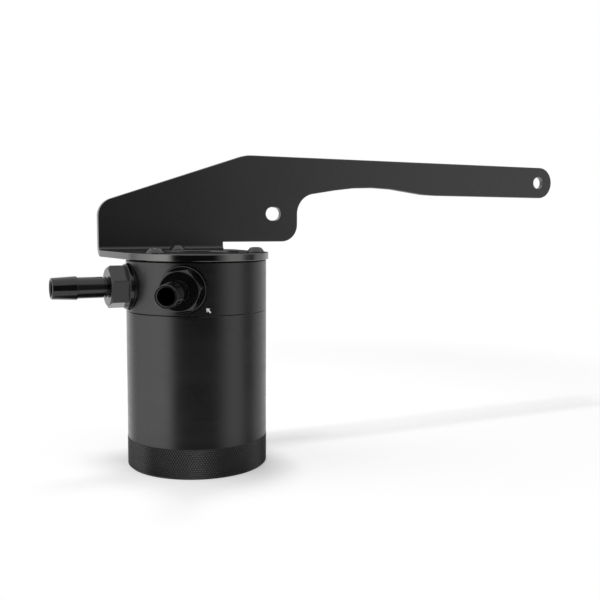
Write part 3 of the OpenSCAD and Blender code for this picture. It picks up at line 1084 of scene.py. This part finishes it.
def fold(x, v, w):
    """Where a point of the flat blank lies once the plate is folded up."""
    if v <= 0:
        return (x, fold_y + v, flange_z + sheet_t / 2 - w)
    out = fold_mid_r + w
    if v >= fold_length:
        return (x, fold_y + out, fold_z + v - fold_length)
    t = v / fold_length * math.pi / 2
    return (x, fold_y + out * math.sin(t), fold_z - out * math.cos(t))


def make_bracket():
    """Cuts the blank, scores it across the fold, bends it and marks its cut edge."""
    piece = piece_from("bracket_sheet", *flat_blank(blank_outline(), blank_holes(), 0.35, 6))
    mesh = open_mesh(piece)
    bmesh.ops.remove_doubles(mesh, verts=mesh.verts, dist=WELD)
    fold_steps = 12
    for i in range(fold_steps + 1):
        everything = list(mesh.verts) + list(mesh.edges) + list(mesh.faces)
        line = Vector((0, fold_length * i / fold_steps * MM, 0))
        bmesh.ops.bisect_plane(mesh, geom=everything, dist=0.0005 * MM, plane_co=line, plane_no=(0, 1, 0))
    rim = mesh.verts.layers.float.new("cut_edge")
    for vert in mesh.verts:
        vert[rim] = 1.0 if abs(vert.co.z) < (sheet_t / 2 - 0.001) * MM else 0.0
        vert.co = Vector(fold(*(vert.co / MM))) * MM
    close_mesh(mesh, piece)
    smooth(piece)
    hand_over(piece, "bracket", "head", "bracket_coat", "bracket")


# The mark beside the inlet

def make_mark():
    """A small plain arrow printed beside the inlet, pointing at it."""
    mid_turn, mid_z = 259.3, 74.4
    lean = math.radians(135)
    arrow = [
        (1.45, 0), (0.05, 1.15), (0.05, 0.36), (-1.35, 0.36), (-1.35, -0.36), (0.05, -0.36), (0.05, -1.15),
    ]
    under, over = body_r - 0.05, body_r + 0.05
    rings = []
    for radius in (under, over):
        ring = []
        for a, b in arrow:
            along = a * math.cos(lean) - b * math.sin(lean)
            up = a * math.sin(lean) + b * math.cos(lean)
            t = math.radians(mid_turn) + along / body_r
            ring.append((radius * math.cos(t), radius * math.sin(t), mid_z + up))
        rings.append(ring)
    points, faces = lathe(rings)
    count = len(arrow)
    faces += [list(range(count)), list(range(count, 2 * count))]
    mark = piece_from("flow_arrow", points, faces)
    point_outwards(mark)
    hand_over(mark, "print", "head", "body_black")


# The studio

camera_bearing = 243.3
room_levels = [      # bearing in degrees from the photographer, brightness
    (-180, 0.28), (-174, 0.32), (-166, 1.10), (-150, 1.12), (-132, 1.00), (-112, 0.58),
    (-92, 1.10), (-75, 1.30), (-55, 1.62), (-38, 1.62), (-29, 0.02), (36, 0.02),
    (46, 0.32), (60, 0.90), (80, 0.90), (90, 0.28), (106, 0.10), (114, 0.58),
    (150, 0.85), (168, 0.80), (176, 0.28), (180, 0.28),
]


def add_light(name, place_at, width, height, power, tint=(1, 1, 1)):
    """A soft rectangular lamp that faces the part."""
    data = bpy.data.lights.new(name, "AREA")
    data.shape = "RECTANGLE"
    data.size = width
    data.size_y = height
    data.energy = power
    data.color = tint
    lamp = bpy.data.objects.new(name, data)
    lamp.location = place_at
    lamp.rotation_euler = (Vector((0, 0, 0.06)) - Vector(place_at)).to_track_quat("-Z", "Y").to_euler()
    bpy.context.scene.collection.objects.link(lamp)
    return lamp


def room_level(tree, way, levels):
    """How bright the room is in one direction about the part, as a reflection shows it.

    The bearing is nothing towards the photographer, who stands in the dark, and grows to the
    right. A wide window is at the left, a narrow one at the right, and a white wall behind."""
    axes = parts_of(tree, way)
    flat = vector(tree, X=axes["X"], Y=axes["Y"])
    turn = math.radians(camera_bearing)
    ahead = vector_calc(tree, "DOT_PRODUCT", flat, (math.cos(turn), math.sin(turn), 0))["Value"]
    aside = vector_calc(tree, "DOT_PRODUCT", flat, (-math.sin(turn), math.cos(turn), 0))["Value"]
    bearing = calc(tree, "ARCTAN2", aside, ahead)
    share = calc(tree, "MULTIPLY_ADD", bearing, 1 / math.tau, 0.5)
    ramp = place(tree, "ShaderNodeValToRGB", {"Fac": share})
    stops = ramp.color_ramp.elements
    brightest = max(level for _, level in levels)
    ends = {0: stops[0], len(levels) - 1: stops[1]}
    for i, (degrees, level) in enumerate(levels):
        stop = ends.get(i) or stops.new(degrees / 360 + 0.5)
        stop.color = (*[level / brightest] * 3, 1)
    return calc(tree, "MULTIPLY", ramp.outputs["Color"], brightest)


def mix_shader(tree, share, first, second):
    """A shader between two others."""
    return place(tree, "ShaderNodeMixShader", {0: share, 1: first, 2: second}).outputs[0]


def glow(tree, strength):
    """A shader that gives off white light."""
    return place(tree, "ShaderNodeEmission", {"Color": (1, 1, 1, 1), "Strength": strength}).outputs[0]


def make_floor():
    """A pale floor that fades into the white background away from the part.

    Reflections see it dark beside the can, a painted shade of the can's foot, and further out they see
    through it."""
    half = 4.0 / MM
    fade_middle = (0.15, 0.10, 0)
    floor = piece_from("floor", [
        (-half, -half, 0), (half, -half, 0), (half, half, 0), (-half, half, 0),
    ], [(0, 1, 2, 3)])
    material, tree, surface = shader("floor_white", Roughness=0.9, IOR=1.2)
    surface.inputs["Base Color"].default_value = (0.86, 0.86, 0.86, 1)
    surface.inputs["Specular IOR Level"].default_value = 0.0
    rays = place(tree, "ShaderNodeLightPath").outputs
    spot = here(tree)
    from_middle = vector_calc(tree, "DISTANCE", spot, fade_middle)["Value"]
    far = eased_value(tree, from_middle, 0.12, 0.29, 0.10, 1.0)
    faded = calc(tree, "MULTIPLY", far, rays["Is Camera Ray"])
    seen = mix_shader(tree, faded, surface.outputs[0], glow(tree, 1.0))
    # Beside the can, glossy rays see a dim glow: a painted shade of the can's foot, seen in reflections.
    from_can = vector_calc(tree, "LENGTH", spot)["Value"]
    beside = eased_value(tree, from_can, 0.050, 0.070)
    clear = place(tree, "ShaderNodeBsdfTransparent").outputs[0]
    painted_shade_then_clear = mix_shader(tree, beside, glow(tree, 0.04), clear)
    blend = mix_shader(tree, rays["Is Glossy Ray"], seen, painted_shade_then_clear)
    tree.links.new(blend, tree.nodes["Material Output"].inputs["Surface"])
    floor.data.materials.append(material)


def make_world():
    """White to the eye, an even pale light, and the room in reflections."""
    world = bpy.data.worlds.new("studio")
    world.use_nodes = True
    bpy.context.scene.world = world
    tree = world.node_tree
    tree.nodes.clear()
    rays = place(tree, "ShaderNodeLightPath").outputs
    way = place(tree, "ShaderNodeTexCoord").outputs["Generated"]
    height = parts_of(tree, way)["Z"]
    raised = eased_value(tree, height, 0.45, 0.75)
    lowered = eased_value(tree, height, -0.32, -0.42)
    even, ceiling, table = 0.46, 1.1, 1.1
    upper = mix_value(tree, raised, room_level(tree, way, room_levels), ceiling)
    shown = mix_value(tree, lowered, upper, table)
    room = mix_value(tree, rays["Is Glossy Ray"], even, shown)
    level = mix_value(tree, rays["Is Camera Ray"], room, 1.0)
    light = place(tree, "ShaderNodeBackground", {"Color": (1, 1, 1, 1), "Strength": level})
    output = place(tree, "ShaderNodeOutputWorld")
    tree.links.new(light.outputs[0], output.inputs["Surface"])


def make_lights():
    """Soft light from the windows and from overhead, which reflections see in the room itself."""
    left = add_light("left_window", (-0.74, 0.30, 0.22), 0.75, 0.60, 4.0, (0.97, 0.98, 1.0))
    right = add_light("right_window", (0.51, -0.63, 0.24), 0.30, 0.60, 2.0, (1.0, 0.99, 0.96))
    overhead = add_light("overhead", (0.03, 0.16, 1.05), 0.20, 0.20, 6.6)
    for lamp in (left, right, overhead):
        lamp.visible_glossy = False


def make_camera():
    """The photograph's viewpoint."""
    data = bpy.data.cameras.new("camera")
    data.lens = 50.0
    data.sensor_width = 36.0
    camera = bpy.data.objects.new("camera", data)
    camera.location = (-0.130892, -0.367368, 0.112415)
    look = Vector((0.44737, 0.88951, -0.09287)).to_track_quat("-Z", "Y")
    tilt = 0.005
    camera.rotation_mode = "QUATERNION"
    camera.rotation_quaternion = look @ Quaternion((0, 0, 1), tilt)
    bpy.context.scene.collection.objects.link(camera)
    bpy.context.scene.camera = camera


make_cup()
make_head()
hose_fitting("inlet_hose_fitting", inlet_turn, 38, "inlet_fitting", "inlet")
hose_fitting("outlet_hose_fitting", outlet_turn, 49, "outlet_fitting", "outlet")
make_washer("inlet_washer_ring", inlet_turn, "inlet_washer")
make_washer("outlet_washer_ring", outlet_turn, "outlet_washer")
make_cup_seal()
make_bracket()
make_screws()
make_mark()
dress("seal", "inlet_seal", "outlet_seal")
dress("steel", "inlet_tube", "baffle", "baffle_screw_1", "baffle_screw_2", "baffle_screw_3", "filter_ring")
dress("bronze", "filter_element")
make_camera()
make_world()
make_lights()
make_floor()
bpy.context.scene.view_settings.view_transform = "Standard"
